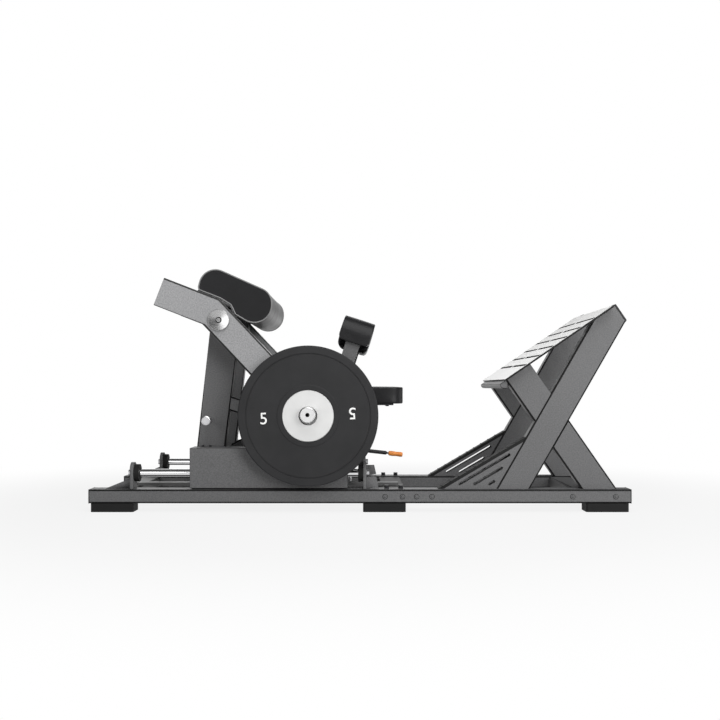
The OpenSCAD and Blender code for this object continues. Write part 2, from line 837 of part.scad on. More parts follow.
// Sleeves that carry the weight plates: a flange on the arm, a groove past the plate, a free end
module plate_sleeves() {
    groove = 1;
    color(chrome) for (side = [-1, 1]) on_side(side)
        translate([sleeve_at[0], -arm_out, sleeve_at[1]]) rotate([90, 0, 0]) difference() {
            rotate_extrude() polygon([
                [0, 0], [46, 0], [46, 2.5], [sleeve_r, 2.5],
                [sleeve_r, 54], [sleeve_r - groove, 54], [sleeve_r - groove, 56], [sleeve_r, 56],
                [sleeve_r, 82.5], [sleeve_r - 2.5, 85], [0, 85]]);
            translate([0, 0, 55]) cylinder(r = 6.5, h = 40);
        }
}

// Places what is drawn with the hip pad's slope along x and its posts along z
module hip_place() {
    rotate([0, hip_tilt, 0]) translate([hip_post_x, 0, 0]) children();
}

// Posts from the arms' lower ends and the plate that joins them under the hip pad
module hip_frame() {
    half = hip_post_w / 2;
    color(paint) hip_place() {
        for (side = [-1, 1]) on_side(side) difference() {
            block([-half, half], [-arm_in, -hip_post_in], [hip_foot, hip_under]);
            block([wall - half, half - wall], [wall - arm_in, -hip_post_in - wall],
                [hip_foot + wall, hip_under + eps]);
        }
        block([-34, 34], [-arm_in, arm_in], [hip_under, hip_under + hip_plate_t]);
    }
}

// Hip cushion: it rolls down at both ends and hangs lower between the posts
module hip_pad() {
    half_l = 52;
    top = 83;
    roll = 62;
    roll_drop = 52;
    n = 5;
    // Distance from the middle, height of the underside, inset of the section
    middle = [[0, -20], [60, -20], [125, -19.5], [150, -17], [160, -9], [164, 0]];
    ends = [for (a = [0:15:75]) hip_half - roll + roll * sin(a)];
    stations = concat([for (m = middle) [m[0], m[1], 0]], [for (y = ends) [y, 0, 0]],
        [[hip_half - 0.6, 0, 2], [hip_half, 0, 5]]);
    drop = function (y) roll_drop * (1 - sqrt(1 - pow(max(y - hip_half + roll, 0) / roll, 2)));
    section = function (s, y) [for (p = drawn_in(rounded([
        [-half_l, s[1]], [-half_l, top - drop(s[0])], [half_l, top - drop(s[0])], [half_l, s[1]]],
        [15, 4, 4, 13], n), s[2])) [p[0], y, p[1]]];
    far = [for (i = [len(stations) - 1:-1:1]) section(stations[i], stations[i][0])];
    near = [for (s = stations) section(s, -s[0])];
    color(black) hip_place() difference() {
        translate([0, 0, hip_under]) loft(concat(far, near), [0, hip_half, 15], [0, -hip_half, 15]);
        block([-34, 34], [-arm_in, arm_in], [hip_under, hip_under + hip_plate_t]);
    }
}

// The middle of the back pad's plate: on the arms, off them round the bend, and back on them
pad_plate_t = 5;
over_arm = (tube_w + pad_plate_t) / 2;
bend_top = strip_point(arm_line, 1, over_arm);
bracket_line = [bend_top - heading(arm_line, 0) * 78, bend_top, bend_top + [34, -21],
                arm_point(60) + left_of(arm_dir()) * over_arm];

// Bent plate on the arms that carries the back pad
module back_pad_bracket() {
    half_y = 245;
    color(paint) slab(strip(bracket_line, pad_plate_t / 2), -half_y, half_y);
}

// Back cushion: a flat top that turns down into a round nose, with drawn-in ends
module back_pad() {
    n = 8;
    seat = [for (i = [0:3]) strip_point(bracket_line, i, pad_plate_t / 2)];
    corners = [seat[0], [-508, 808], [-287, 710], [-289, 571], seat[3], seat[2], seat[1]];
    radii = [10, 54, 50, 57, 3, 4, 3];
    outline = rounded(corners, radii, n);
    // Distance from the middle, inset of the section
    stations = [[0, 0], [120, 0.3], [200, 0.8], [232, 1.6], [242, 3], [248, 5], [back_half, 7.5]];
    section = function (s, y) [for (p = drawn_in(outline, s[1])) [p[0], y, p[1]]];
    far = [for (i = [len(stations) - 1:-1:1]) section(stations[i], stations[i][0])];
    near = [for (s = stations) section(s, -s[0])];
    color(black) loft(concat(far, near), [-375, back_half, 680], [-375, -back_half, 680]);
}

// ---- weight plates ----

// Rubber disc with a raised rim, a groove and a ring round the hub
module rubber_disc(side) {
    on_side(side) color(black) translate([sleeve_at[0], -plate_in, plate_z]) rotate([90, 0, 0])
        rotate_extrude() polygon([
            [82.5, 1], [97, 1], [100, 3], [197, 3], [201, 1], [plate_d / 2 - 3, 1], [plate_d / 2, 4],
            [plate_d / 2, plate_t - 4], [plate_d / 2 - 3, plate_t - 1], [201, plate_t - 1], [200, plate_t - 3],
            [198, plate_t - 3], [197, plate_t - 1.5], [100, plate_t - 1.5], [98, plate_t], [84, plate_t],
            [82.5, plate_t - 1.5]]);
}

module hub_disc(side) {
    on_side(side) color(chrome) translate([sleeve_at[0], -plate_in, plate_z]) rotate([90, 0, 0])
        rotate_extrude() polygon([
            [bore_r, 2], [80, 2], [82.5, 3], [82.5, plate_t - 2], [81, plate_t - 1], [bore_r + 1, plate_t - 1],
            [bore_r, plate_t - 2]]);
}

module right_plate_rubber() { rubber_disc(-1); }
module left_plate_rubber() { rubber_disc(1); }
module right_plate_hub() { hub_disc(-1); }
module left_plate_hub() { hub_disc(1); }

// ---- release lever ----

grip_at = 182;

// Places what is drawn along x from the lever's pivot
module lever_place() {
    translate([lever_pivot[0], lever_y, lever_pivot[1]]) rotate([0, lever_drop, 0]) children();
}

// Flat lever with a long eye round the lock pin, then a round rod and a thin neck
module release_lever() {
    eye_x = (lock_x - lever_pivot[0]) / cos(lever_drop);
    eye = [eye_x - 2, eye_x + 5];
    eye_r = pin_r + 1;
    rod = 6.5;
    neck_r = 3;
    color(black) lever_place() difference() {
        union() {
            bar_y([0, 0], 9, -6, 6);
            block([0, 34], [-6, 6], [-4, 4]);
            block([30, 78], [-13, 13], [-4, 4]);
            bar_x([0, 0], rod, 76, grip_at - 9);
            translate([grip_at - 9, 0, 0]) rotate([0, 90, 0]) cylinder(r1 = rod, r2 = neck_r, h = 5);
            bar_x([0, 0], neck_r, grip_at - 5, grip_at + 40);
        }
        bar_y([0, 0], 4 + running_gap, -20, 20);
        for (x = eye) translate([x, 0, -10]) cylinder(r = eye_r, h = 20);
        block(eye, [-eye_r, eye_r], [-10, 10]);
    }
}

// Soft grip on the lever's end, waisted for the fingers
module lever_grip() {
    color("#e07a2a") lever_place() translate([grip_at, 0, 0]) rotate([0, 90, 0])
        rotate_extrude() polygon([[3, 0], [6, 0], [8, 4], [8.5, 14], [7.4, 26], [8.2, 42], [7, 48],
            [0, 49], [0, 40], [3, 40]]);
}

// Lock pin, drawn lifted clear of the index bar, with its head over the lever's eye
module lock_pin() {
    tip_z = cross_top + index_t + 1.5;
    head_z = 198.5;
    head_r = 10;
    head_h = 6;
    color(chrome) translate([lock_x, lever_y, 0]) rotate_extrude() polygon([
        [0, tip_z], [pin_r - 1.5, tip_z], [pin_r, tip_z + 3], [pin_r, head_z], [head_r, head_z],
        [head_r, head_z + head_h - 2], [head_r - 2, head_z + head_h], [0, head_z + head_h]]);
}

right_rail();
left_rail();
rail_end_caps();
rubber_feet();
rear_cross_member();
middle_cross_member();
front_cross_member();
rail_bolts();
rail_plugs();
index_bar();
rear_rod_brackets();
front_rod_brackets();
guide_rods();
rod_buffers();
rod_end_bolts();
right_foot_upright();
left_foot_upright();
right_foot_braces();
left_foot_braces();
foot_upright_caps();
footplate();
footplate_toe_bar();
step_brackets();
step_treads();
right_carriage_box();
left_carriage_box();
linear_bearings();
carriage_bolts();
carriage_cross_tubes();
right_post();
left_post();
pivot_bearings();
seat_frame();
seat_strut();
seat_plate();
seat_bolts();
seat_pad();
band_pegs();
arm_stops();
lock_pin_housing();
lever_ears();
right_arm();
left_arm();
arm_end_caps();
arm_tie();
pivot_axle();
pivot_caps();
plate_sleeves();
hip_frame();
hip_pad();
back_pad_bracket();
back_pad();
right_plate_rubber();
left_plate_rubber();
right_plate_hub();
left_plate_hub();
release_lever();
lever_grip();
lock_pin();
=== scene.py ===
import json
import math

import bmesh
import bpy
import numpy as np
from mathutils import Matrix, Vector

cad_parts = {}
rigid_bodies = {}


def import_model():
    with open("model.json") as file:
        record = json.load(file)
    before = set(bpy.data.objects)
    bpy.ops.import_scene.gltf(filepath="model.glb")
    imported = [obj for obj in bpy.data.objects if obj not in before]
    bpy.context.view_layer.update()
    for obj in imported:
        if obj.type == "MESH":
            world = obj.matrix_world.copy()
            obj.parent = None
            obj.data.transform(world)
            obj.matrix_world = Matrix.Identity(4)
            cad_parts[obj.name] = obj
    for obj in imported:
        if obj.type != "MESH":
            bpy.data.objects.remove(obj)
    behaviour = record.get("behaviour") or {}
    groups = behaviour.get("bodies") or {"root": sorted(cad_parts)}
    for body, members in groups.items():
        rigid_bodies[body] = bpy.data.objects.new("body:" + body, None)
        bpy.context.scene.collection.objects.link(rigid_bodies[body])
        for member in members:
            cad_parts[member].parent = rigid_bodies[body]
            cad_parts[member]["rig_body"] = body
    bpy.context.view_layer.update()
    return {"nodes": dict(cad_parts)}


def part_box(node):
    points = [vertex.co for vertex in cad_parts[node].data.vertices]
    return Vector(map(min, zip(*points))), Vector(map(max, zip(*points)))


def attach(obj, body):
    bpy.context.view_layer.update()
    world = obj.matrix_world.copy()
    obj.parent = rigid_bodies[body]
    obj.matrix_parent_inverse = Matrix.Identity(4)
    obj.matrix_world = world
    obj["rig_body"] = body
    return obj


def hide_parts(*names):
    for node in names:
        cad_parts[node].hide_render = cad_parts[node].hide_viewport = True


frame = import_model()
nodes = frame["nodes"]

# ---- the studio ----
# A level camera looks square at the machine's side, at the height of the hip pad's posts. The floor
# and the air are white to it. Three soft boxes light the side it sees, more from the foot end, and
# two light the back and the foot end itself.

eye_distance = 3.508
eye_height = 0.404
horizon_row = 387
image_size = 720
camera_data = bpy.data.cameras.new("camera")
camera_data.lens = 50
camera_data.sensor_width = 36
camera_data.shift_y = (horizon_row - image_size / 2) / image_size
camera = bpy.data.objects.new("camera", camera_data)
camera.location = (0, -eye_distance, eye_height)
camera.rotation_euler = (math.pi / 2, 0, 0)
bpy.context.scene.collection.objects.link(camera)
bpy.context.scene.camera = camera
bpy.context.scene.view_settings.view_transform = "Standard"


class Shade:
    """A value in a material. Python's operators on it add Math nodes, and node() adds any other."""

    def __init__(self, tree, socket):
        self.tree = tree
        self.socket = socket

    def node(self, kind, settings, values, output=0):
        """Adds a node: its settings are set first, then the values or links of its sockets."""
        made = self.tree.nodes.new(kind)
        for name, value in settings.items():
            setattr(made, name, value)
        for name, value in values.items():
            if isinstance(value, Shade):
                self.tree.links.new(value.socket, made.inputs[name])
            else:
                made.inputs[name].default_value = value
        return Shade(self.tree, made.outputs[output])

    def math(self, operation, first, second):
        return self.node("ShaderNodeMath", {"operation": operation}, {0: first, 1: second})

    def __add__(self, other):
        return self.math("ADD", self, other)

    def __sub__(self, other):
        return self.math("SUBTRACT", self, other)

    def __rsub__(self, other):
        return self.math("SUBTRACT", other, self)

    def __mul__(self, other):
        return self.math("MULTIPLY", self, other)

    __radd__ = __add__
    __rmul__ = __mul__

    def noise(self, scale, detail=2.0):
        """Noise from 0 to 1 at a scale given in lumps per metre."""
        inputs = {"Vector": self, "Scale": scale, "Detail": detail}
        return self.node("ShaderNodeTexNoise", {}, inputs)

    def tint(self, dark, light, amount):
        """A colour between two others, by an amount from 0 to 1."""
        return self.node(
            "ShaderNodeMix",
            {"data_type": "RGBA"},
            {0: amount, 6: (*dark, 1), 7: (*light, 1)},
            output=2,
        )

    def bump(self, height, distance, strength=1.0):
        return self.node(
            "ShaderNodeBump", {}, {"Height": height, "Distance": distance, "Strength": strength}
        )


def start_material(name, **constants):
    """A new material with its constants on the shader, and the place on the piece to build on."""
    material = bpy.data.materials.new(name)
    material.use_nodes = True
    tree = material.node_tree
    shader = tree.nodes["Principled BSDF"]
    for label, value in constants.items():
        shader.inputs[label.replace("_", " ")].default_value = value
    place = Shade(tree, tree.nodes.new("ShaderNodeTexCoord").outputs["Object"])
    return material, shader, place


def studio_floor(name, lit, white, near, far):
    """A pale lit floor that shows white: by the share white up to near, and wholly beyond far."""
    material, shader, place = start_material(name, Roughness=0.9)
    shader.inputs["Base Color"].default_value = (lit, lit, lit, 1)
    shader.inputs["Specular IOR Level"].default_value = 0.0
    path = place.tree.nodes.new("ShaderNodeLightPath").outputs
    seen = Shade(place.tree, path["Is Camera Ray"]) + Shade(place.tree, path["Is Glossy Ray"])
    distance = place.node("ShaderNodeVectorMath", {"operation": "LENGTH"}, {0: place}, output=1)
    spread = place.node(
        "ShaderNodeMapRange",
        {"interpolation_type": "SMOOTHSTEP"},
        {"Value": distance, "From Min": near, "From Max": far, "To Min": white, "To Max": 1.0},
    )
    glow = place.node("ShaderNodeEmission", {}, {"Color": (1, 1, 1, 1), "Strength": 1.0})
    surface = Shade(place.tree, shader.outputs[0])
    mixed = place.node("ShaderNodeMixShader", {}, {0: seen * spread, 1: surface, 2: glow})
    place.tree.links.new(mixed.socket, place.tree.nodes["Material Output"].inputs["Surface"])
    return material


def add_mesh(name, vertices, faces):
    """A mesh object from an array of vertices and a list of faces, at the origin."""
    data = bpy.data.meshes.new(name)
    data.from_pydata(np.asarray(vertices).reshape(-1, 3).tolist(), [], faces)
    data.validate()
    piece = bpy.data.objects.new(name, data)
    bpy.context.scene.collection.objects.link(piece)
    return piece


floor_half = 30.0
floor_corners = np.array([(-1, -1, 0), (1, -1, 0), (1, 1, 0), (-1, 1, 0)]) * floor_half
floor = add_mesh("floor", floor_corners, [[0, 1, 2, 3]])
floor.data.materials.append(studio_floor("floor_white", lit=0.42, white=0.85, near=0.95, far=2.2))

world = bpy.data.worlds.new("air")
bpy.context.scene.world = world
world.use_nodes = True
light_path = world.node_tree.nodes.new("ShaderNodeLightPath").outputs
air = Shade(world.node_tree, light_path["Is Camera Ray"])
ambient = 0.09
background = world.node_tree.nodes["Background"].inputs
background["Color"].default_value = (1, 1, 1, 1)
strength = ambient + air * (1 - ambient)
world.node_tree.links.new(strength.socket, background["Strength"])


def soft_box(name, place, aim, size, power):
    data = bpy.data.lights.new(name, "AREA")
    data.size = size
    data.energy = power
    lamp = bpy.data.objects.new(name, data)
    lamp.location = place
    lamp.rotation_euler = (Vector(aim) - Vector(place)).to_track_quat("-Z", "Y").to_euler()
    bpy.context.scene.collection.objects.link(lamp)


soft_box("key", (1.7, -3.1, 1.1), (0.5, 0, 0.35), 1.5, 56)
soft_box("overhead", (0.4, -1.3, 2.4), (0.1, 0, 0.25), 2.4, 62)
soft_box("fill", (-1.9, -3.3, 1.1), (-0.3, 0, 0.35), 1.6, 24)
soft_box("back", (-0.6, 3.2, 1.5), (0, 0, 0.3), 3.0, 40)
soft_box("foot_end", (3.6, 0.4, 0.9), (0.4, 0, 0.3), 2.0, 36)

# ---- base, foot frame, carriage and seat frame ----
# Welded steel tube and folded sheet with a dark grey powder coat. The coat is baked on as powder,
# so it keeps a fine grain. The rounded corners of tubes and sheets carry a painted shade, a
# near-black coat that shows as thin dark lines.


def feed(shader, **sockets):
    """Links values that vary over the surface to the shader's sockets."""
    for label, value in sockets.items():
        value.tree.links.new(value.socket, shader.inputs[label.replace("_", " ")])


def dress(material, *names):
    for name in names:
        for slot in nodes[name].material_slots:
            slot.material = material


def rounded_steel(name, radius, coat, edge, shortest=0.0, flat=True):
    """A copy of a CAD node with its triangles joined into flat faces and its outer corners rounded,
    where they are longer than shortest. The rounded corners take the edge material, which paints a
    shade on them, or a highlight on the back cushion's bracket. A part with flat sides is shaded
    flat, and a round one smooth between its sharp edges."""
    merge_distance, level_angle, corner_angle = 0.00001, math.radians(1), math.radians(40)
    source = nodes[name]
    data = source.data.copy()
    work = bmesh.new()
    work.from_mesh(data)
    bmesh.ops.remove_doubles(work, verts=work.verts, dist=merge_distance)
    bmesh.ops.dissolve_limit(work, angle_limit=level_angle, verts=work.verts, edges=work.edges)
    for face in work.faces:
        face.smooth = not flat
    weight = work.edges.layers.float.new("bevel_weight_edge")
    for side in work.edges:
        sharp = len(side.link_faces) == 2 and side.calc_face_angle(0) > corner_angle
        rounded = sharp and side.is_convex and side.calc_length() > shortest
        side[weight] = float(rounded)
        side.smooth = rounded or not sharp
    work.to_mesh(data)
    work.free()
    piece = bpy.data.objects.new(name + "_rounded", data)
    bpy.context.scene.collection.objects.link(piece)
    bevel = piece.modifiers.new("corners", "BEVEL")
    bevel.width = radius
    bevel.segments = 2
    bevel.material = 1
    bevel.limit_method = "WEIGHT"
    bevel.use_clamp_overlap = shortest == 0
    bevel.harden_normals = not flat
    data.materials.clear()
    data.materials.append(coat)
    data.materials.append(edge)
    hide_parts(name)
    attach(piece, source["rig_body"])
    return piece


def powder_coat(name, colour, metallic=0.0, roughness=0.5, flake=0.2, specular=0.4):
    """A baked powder coat. Its tone goes from dark to light by 0.3 of a slow noise plus 2.4 of a
    fine grain, less 0.85, and the grain also gives the gloss and the height."""
    material, shader, place = start_material(name, Metallic=metallic, Specular_IOR_Level=specular)
    slow = place.noise(5.0)
    grain = place.noise(260.0, 1.5)
    dark = [c * (1 - flake) for c in colour]
    light = [c * (1 + flake) for c in colour]
    feed(
        shader,
        Base_Color=place.tint(dark, light, slow * 0.3 + grain * 2.4 - 0.85),
        Roughness=grain * 0.16 + (roughness - 0.08),
        Normal=place.bump(grain, 0.00025, 0.5),
    )
    return material


frame_coat = powder_coat("frame_coat", (0.110, 0.110, 0.112))
# A painted shade: the near-black coat on the rounded corners, and on the whole middle cross member
frame_painted_shade = powder_coat("frame_painted_shade", (0.010, 0.010, 0.010), specular=0.12)
tube_radius = 0.0055
tube_shortest = 0.125
sheet_radius = 0.0016
for name in [
    "right_rail", "left_rail", "rear_cross_member", "front_cross_member",
    "right_foot_upright", "left_foot_upright", "right_foot_braces", "left_foot_braces",
    "right_post", "left_post", "carriage_cross_tubes", "seat_frame", "seat_strut", "hip_frame",
]:
    rounded_steel(name, tube_radius, frame_coat, frame_painted_shade, tube_shortest)
for name in ["right_carriage_box", "left_carriage_box", "footplate_toe_bar", "step_brackets"]:
    rounded_steel(name, sheet_radius, frame_coat, frame_painted_shade)
for name in ["rail_plugs", "rear_rod_brackets", "front_rod_brackets"]:
    rounded_steel(name, sheet_radius, frame_coat, frame_painted_shade, flat=False)
# The middle cross member is dressed all in the near-black corner coat, a painted shade between the
# rails
rounded_steel(
    "middle_cross_member", tube_radius, frame_painted_shade, frame_painted_shade, tube_shortest
)
dress(frame_coat, "lock_pin_housing", "lever_ears")

# ---- black fittings ----
# Moulded end caps and feet of black plastic and rubber, and bolts with a black finish. The treads
# on the steps and the stops under the arms are the same black rubber.


def moulded(name, colour, roughness, grain_depth, specular=0.22):
    """A black moulding with a spark-eroded grain: noise in roughness and height."""
    material, shader, place = start_material(name, Specular_IOR_Level=specular)
    grain = place.noise(700.0, 1.5)
    worn = place.noise(14.0)
    feed(
        shader,
        Base_Color=place.tint([c * 0.8 for c in colour], [c * 1.3 for c in colour], worn),
        Roughness=grain * 0.16 + (roughness - 0.08),
        Normal=place.bump(grain, grain_depth),
    )
    return material


black_plastic = moulded("black_plastic", (0.011, 0.011, 0.012), 0.48, 0.00006)
black_rubber = moulded("black_rubber", (0.008, 0.008, 0.008), 0.68, 0.0001)
black_steel = moulded("black_steel", (0.014, 0.014, 0.016), 0.34, 0.00003, 0.3)
dress(black_plastic, "rail_end_caps", "foot_upright_caps", "arm_end_caps")
dress(black_rubber, "rubber_feet", "rod_buffers", "step_treads", "arm_stops")
dress(black_steel, "rail_bolts", "carriage_bolts", "seat_bolts", "seat_plate")

# ---- bright steel ----
# The guide rods and sleeves are ground bar with hard chrome. Bearings, index bar, pins and bolts
# are zinc plated or turned steel, with fine marks of the tool, and the index bar is darkened to a
# painted shade.


def bright_metal(name, colour, roughness, marks):
    """Plated steel: fine marks and smears that change the gloss."""
    material, shader, place = start_material(name, Metallic=1.0)
    smear = place.noise(30.0)
    fine = place.noise(1500.0, 1.0)
    feed(
        shader,
        Base_Color=place.tint([c * 0.9 for c in colour], colour, smear),
        Roughness=smear * 0.1 + fine * marks + (roughness - 0.05),
        Normal=place.bump(fine, 0.00002, 0.3),
    )
    return material


chrome_rod = bright_metal("chrome_rod", (0.80, 0.80, 0.81), 0.09, 0.0)
bright_steel = bright_metal("bright_steel", (0.62, 0.62, 0.63), 0.28, 0.12)
painted_shade_steel = bright_metal("painted_shade_steel", (0.16, 0.16, 0.16), 0.45, 0.1)
dress(chrome_rod, "guide_rods")
dress(bright_steel, "rod_end_bolts", "linear_bearings", "pivot_bearings", "pivot_axle")
dress(bright_steel, "band_pegs", "lock_pin")
# A painted shade: the index bar is made dark to stand for the shade between the rails
dress(painted_shade_steel, "index_bar")


def turned_metal(name, colour, roughness, part, shadow_in, shadow_out):
    """Steel turned about the part's axis: rings in the gloss, a sine of the radius, and a dark band
    from one radius to another, a painted shade in the recess."""
    material, shader, place = start_material(name, Metallic=1.0)
    low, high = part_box(part)
    axis = ((low[0] + high[0]) / 2, 0, (low[2] + high[2]) / 2)
    offset = place.node("ShaderNodeVectorMath", {"operation": "SUBTRACT"}, {0: place, 1: axis})
    flat = place.node("ShaderNodeVectorMath", {"operation": "MULTIPLY"}, {0: offset, 1: (1, 0, 1)})
    radius = place.node("ShaderNodeVectorMath", {"operation": "LENGTH"}, {0: flat}, output=1)
    within = radius.math("LESS_THAN", radius, shadow_out)
    beyond = radius.math("GREATER_THAN", radius, shadow_in)
    rings = radius.math("SINE", radius * 9000.0, 0)
    feed(
        shader,
        Base_Color=place.tint(colour, [0.02] * 3, within * beyond),
        Roughness=rings * 0.04 + place.noise(60.0) * 0.06 + (roughness - 0.03),
    )
    return material


# The dark band paints the shade round the bolt in each pivot cap's recess, and in the sleeve's hole
bolt_socket, bolt_head, sleeve_hole = 0.0068, 0.0101, 0.0067
for name, part, level, roughness, shadow_in, shadow_out in [
    ("cap_metal", "pivot_caps", 0.41, 0.25, bolt_socket, bolt_head),
    ("sleeve_metal", "plate_sleeves", 0.74, 0.45, -1.0, sleeve_hole),
]:
    dress(turned_metal(name, [level] * 3, roughness, part, shadow_in, shadow_out), part)

# ---- footplate ----
# A steel plate with slots punched through it for grip, in a smooth very light grey paint. Its cut
# edges and the walls of its slots carry a painted shade, a near-black coat.

footplate_coat = powder_coat("footplate_coat", (0.80, 0.80, 0.795), roughness=0.4, flake=0.025)
edge_radius = 0.0012
shade_cosine = 0.7
footplate_painted_shade = powder_coat("footplate_painted_shade", (0.010, 0.010, 0.010), specular=0.12)
piece = rounded_steel("footplate", edge_radius, footplate_coat, footplate_painted_shade)
count = len(piece.data.polygons)
normals, areas = np.empty(count * 3, np.float32), np.empty(count, np.float32)
piece.data.polygons.foreach_get("normal", normals)
piece.data.polygons.foreach_get("area", areas)
normals = normals.reshape(-1, 3)
# Faces turned away from the plate's face, its edges and slot walls, take the painted shade
in_painted_shade = np.abs(normals @ normals[areas.argmax()]) < shade_cosine
piece.data.polygons.foreach_set("material_index", in_painted_shade.astype(np.int32))

# ---- press arm ----
# Two bent steel tubes in a light grey coat with metal flake in it, tied behind the pivot, with a
# painted shade, near black, on their long corners. The back cushion lies on a bent plate whose
# rounded corners carry a painted highlight, a pale grey.

arm_coat = powder_coat("arm_coat", (0.285, 0.285, 0.29), 0.12, 0.38, 0.24)
# A painted shade on the arms' long rounded corners
arm_corner_shade = powder_coat("arm_corner_shade", (0.02, 0.02, 0.02), 0.0, 0.4, 0.1, 0.2)
for name in ["right_arm", "left_arm", "arm_tie"]:
    rounded_steel(name, tube_radius, arm_coat, arm_corner_shade, tube_shortest)
# A painted highlight on the bracket's rounded corners
bracket_corner_highlight = powder_coat("bracket_corner_highlight", (0.42, 0.42, 0.42))
rounded_steel("back_pad_bracket", edge_radius, frame_coat, bracket_corner_highlight)

# ---- weight plates ----
# A rubber disc moulded on a light metal hub. The weight mark, a plain 5, stands twice on the outer
# face in white paint, and the rest of the face is bare.

plate_rubber = moulded("plate_rubber", (0.021, 0.021, 0.022), 0.62, 0.00008)
dress(plate_rubber, "right_plate_rubber", "left_plate_rubber")
hub_metal = bright_metal("hub_metal", (0.70, 0.70, 0.695), 0.48, 0.1)
dress(hub_metal, "right_plate_hub", "left_plate_hub")

mark_white, shader, place = start_material("mark_white", Specular_IOR_Level=0.4)
mark_grain = place.noise(400.0)
feed(
    shader,
    Base_Color=place.tint((0.80, 0.80, 0.79), (0.9, 0.9, 0.89), mark_grain),
    Roughness=mark_grain * 0.2 + 0.4,
)
mark_height = 0.038
mark_radius = 0.142
mark_turn = math.radians(3.3)
mark_swell, mark_half_depth, mark_lift = 0.0002, 0.0006, 0.0001
# Height of a digit as a share of the type's size
digit_share = 0.72
for side, label in [(-1, "right"), (1, "left")]:
    low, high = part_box(label + "_plate_rubber")
    centre = np.array([(low[0] + high[0]) / 2, 0, (low[2] + high[2]) / 2])
    face = low[1] if side < 0 else high[1]
    for half_turn in (0, 1):
        curve = bpy.data.curves.new("five", "FONT")
        curve.body = "5"
        curve.align_x = "CENTER"
        curve.align_y = "CENTER"
        curve.size = mark_height / digit_share
        curve.offset = mark_swell
        curve.extrude = mark_half_depth
        text = bpy.data.objects.new("five", curve)
        bpy.context.scene.collection.objects.link(text)
        bpy.context.view_layer.update()
        graph = bpy.context.evaluated_depsgraph_get()
        data = bpy.data.meshes.new_from_object(text.evaluated_get(graph))
        bpy.data.objects.remove(text)
        flat = np.empty(len(data.vertices) * 3, np.float32)
        data.vertices.foreach_get("co", flat)
        flat = flat.reshape(-1, 3)
        # The glyph lies in X and Y: it is stood up in X and Z, moved out and turned about the hub
        across = (flat[:, 0] - (flat[:, 0].min() + flat[:, 0].max()) / 2) - mark_radius
        up = flat[:, 1] - (flat[:, 1].min() + flat[:, 1].max()) / 2
        angle = mark_turn + math.pi * half_turn
        x = across * math.cos(angle) - up * math.sin(angle)
        z = across * math.sin(angle) + up * math.cos(angle)
        y = side * (flat[:, 2] + mark_lift) + face
        placed = np.column_stack([centre[0] - side * x, y, centre[2] + z])
        data.vertices.foreach_set("co", placed.astype(np.float32).ravel())
        data.update()
        piece = bpy.data.objects.new(f"{label}_weight_mark_{half_turn + 1}", data)
        bpy.context.scene.collection.objects.link(piece)
        work = bmesh.new()
        work.from_mesh(data)
        bmesh.ops.remove_doubles(work, verts=work.verts, dist=0.000001)
        bmesh.ops.recalc_face_normals(work, faces=work.faces)
        work.to_mesh(data)
        work.free()
        data.materials.append(mark_white)
        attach(piece, label + "_weight_plate")

# ---- cushions ----
# Foam on a board under a black vinyl cover, which is cut in panels and sewn, and swells between its
# seams.


def vinyl(name, colour):
    """Vinyl cover: a leather-like grain of cells, and slow creases that change the gloss."""
    material, shader, place = start_material(name, Specular_IOR_Level=0.24)
    cells = place.node(
        "ShaderNodeTexVoronoi", {"feature": "DISTANCE_TO_EDGE"}, {"Vector": place, "Scale": 520.0}
    )
    crease = place.noise(26.0, 3.0)
    feed(
        shader,
        Base_Color=place.tint([c * 0.85 for c in colour], [c * 1.25 for c in colour], crease),
        Roughness=crease * 0.14 + 0.36,
        Normal=place.bump(cells, 0.00012, 0.35),
    )
    return material


black_vinyl = vinyl("black_vinyl", (0.006, 0.006, 0.0068))
cover_pressure = 4.0
settle_frames = 20


def outline(corners, radii, arc_steps, side_steps):
    """A closed line: an arc of arc_steps at each corner, then side_steps along the next side."""
    corners = np.asarray(corners, float)
    points = []
    for i, corner in enumerate(corners):
        back = corners[i - 1] - corner
        ahead = corners[(i + 1) % len(corners)] - corner
        back, ahead = back / np.linalg.norm(back), ahead / np.linalg.norm(ahead)
        half = math.acos(np.dot(back, ahead)) / 2
        centre = corner + (back + ahead) / np.linalg.norm(back + ahead) * radii[i] / math.sin(half)
        first = corner + back * radii[i] / math.tan(half) - centre
        last = corner + ahead * radii[i] / math.tan(half) - centre
        a0 = math.atan2(first[1], first[0])
        turn = (math.atan2(last[1], last[0]) - a0 + 3 * math.pi) % (2 * math.pi) - math.pi
        angle = a0 + turn * np.linspace(0, 1, arc_steps[i] + 1)
        points.append(centre + radii[i] * np.column_stack([np.cos(angle), np.sin(angle)]))
    line = []
    for i, arc in enumerate(points):
        step = np.linspace(0, 1, side_steps[i] + 1)[1:-1, None]
        line += [arc, arc[-1] * (1 - step) + points[(i + 1) % len(points)][0] * step]
    return np.concatenate(line)


def drawn_in(line, distance):
    """A clockwise closed line moved inwards, square to the chord between a point's neighbours."""
    chord = np.roll(line, -1, axis=0) - np.roll(line, 1, axis=0)
    chord /= np.linalg.norm(chord, axis=1, keepdims=True)
    return line + np.column_stack([chord[:, 1], -chord[:, 0]]) * distance


def smooth_outwards(data):
    """Points a closed mesh's faces outwards and shades them smooth."""
    work = bmesh.new()
    work.from_mesh(data)
    bmesh.ops.recalc_face_normals(work, faces=work.faces)
    for face in work.faces:
        face.smooth = True
    work.to_mesh(data)
    work.free()


